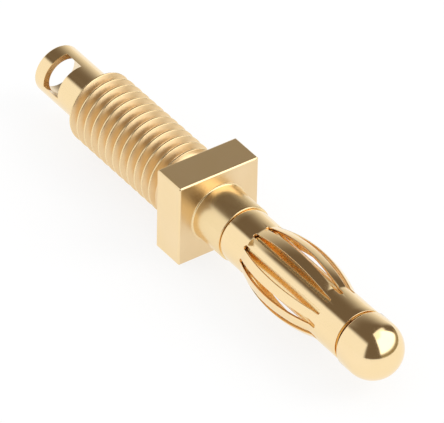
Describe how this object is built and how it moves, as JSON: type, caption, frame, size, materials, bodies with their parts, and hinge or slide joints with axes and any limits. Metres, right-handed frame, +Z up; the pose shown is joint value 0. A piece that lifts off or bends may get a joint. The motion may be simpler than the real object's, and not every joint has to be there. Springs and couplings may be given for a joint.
{
  "type": "banana plug",
  "caption": "Panel-mount banana plug: sprung ribbed cage on a pin, square flange, threaded shank and solder cup.",
  "frame": {"origin": "on the plug's axis, in the face of the flange that seats on a panel", "axes": "+X along the axis towards the nose, +Z up, square to a flat of the flange"},
  "size_m": [0.0363, 0.006, 0.006],
  "materials": {
    "gold_plated_brass": "gold plated, turned",
    "gold_plated_spring_alloy": "gold plated, polished sheet"
  },
  "bodies": {
    "root": {"plug_body": "gold_plated_brass", "contact_cage": "gold_plated_spring_alloy"}
  },
  "joints": []
}
